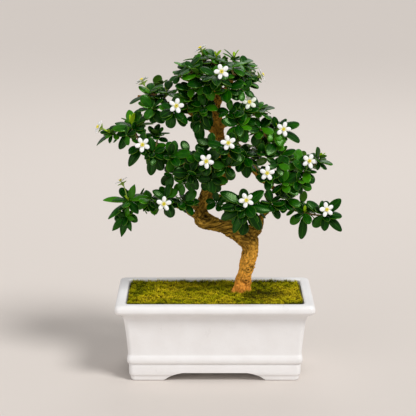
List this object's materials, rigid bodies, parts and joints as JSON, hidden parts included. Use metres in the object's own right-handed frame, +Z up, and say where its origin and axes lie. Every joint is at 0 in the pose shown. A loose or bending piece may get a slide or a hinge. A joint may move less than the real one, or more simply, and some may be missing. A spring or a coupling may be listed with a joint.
{
  "type": "flowering bonsai tree in a pot",
  "caption": "Small bonsai with a bent trunk, tufts of glossy spoon-shaped leaves and white five-petalled flowers, in a low rectangular glazed pot with moss.",
  "frame": {"origin": "on the surface that the pot stands on, under the middle of the whole part's box", "axes": "+Z up; +X towards the viewer's right along the pot's long side; the pot's front faces -Y"},
  "size_m": [0.1975, 0.1004, 0.2687],
  "materials": {
    "glaze": "off-white glossy glaze",
    "soil": "damp dark brown soil",
    "moss": "matt olive to golden moss",
    "bark": "rough golden brown bark with dark cracks",
    "leaf": "dark green, glossy above and paler and matt below",
    "petal": "thin white petal, a little see-through",
    "stamens": "matt yellow"
  },
  "bodies": {
    "root": {"pot": "glaze", "soil": "soil", "moss": "moss", "trunk": "bark", "spray_lower_left_tip": "leaf", "spray_lower_left_mid": "leaf", "spray_lower_left_back": "leaf", "spray_mid_left_tip": "leaf", "spray_mid_left_lower": "leaf", "spray_mid_left_inner": "leaf", "spray_upper_left_tip": "leaf", "spray_upper_left_mid": "leaf", "spray_crown_left": "leaf", "spray_crown_top": "leaf", "spray_crown_front": "leaf", "spray_crown_right": "leaf", "spray_upper_right_mid": "leaf", "spray_upper_right_tip": "leaf", "spray_middle": "leaf", "spray_mid_right_inner": "leaf", "spray_mid_right_tip": "leaf", "spray_lower_right_front": "leaf", "spray_lower_right_tip": "leaf", "spray_back_middle": "leaf", "spray_back_left": "leaf", "spray_back_low": "leaf", "corolla_crown": "petal", "corolla_crown_tip": "petal", "corolla_crown_right": "petal", "corolla_upper_left": "petal", "corolla_upper_left_tip": "petal", "corolla_mid_left": "petal", "corolla_mid_left_tip": "petal", "corolla_middle": "petal", "corolla_middle_left": "petal", "corolla_upper_right": "petal", "corolla_upper_right_tip": "petal", "corolla_mid_right": "petal", "corolla_mid_right_tip": "petal", "corolla_lower_right": "petal", "corolla_lower_right_tip": "petal", "corolla_lower_left": "petal", "corolla_lower_left_tip": "petal", "centre_crown": "stamens", "centre_crown_tip": "stamens", "centre_crown_right": "stamens", "centre_upper_left": "stamens", "centre_upper_left_tip": "stamens", "centre_mid_left": "stamens", "centre_mid_left_tip": "stamens", "centre_middle": "stamens", "centre_middle_left": "stamens", "centre_upper_right": "stamens", "centre_upper_right_tip": "stamens", "centre_mid_right": "stamens", "centre_mid_right_tip": "stamens", "centre_lower_right": "stamens", "centre_lower_right_tip": "stamens", "centre_lower_left": "stamens", "centre_lower_left_tip": "stamens"}
  },
  "joints": []
}
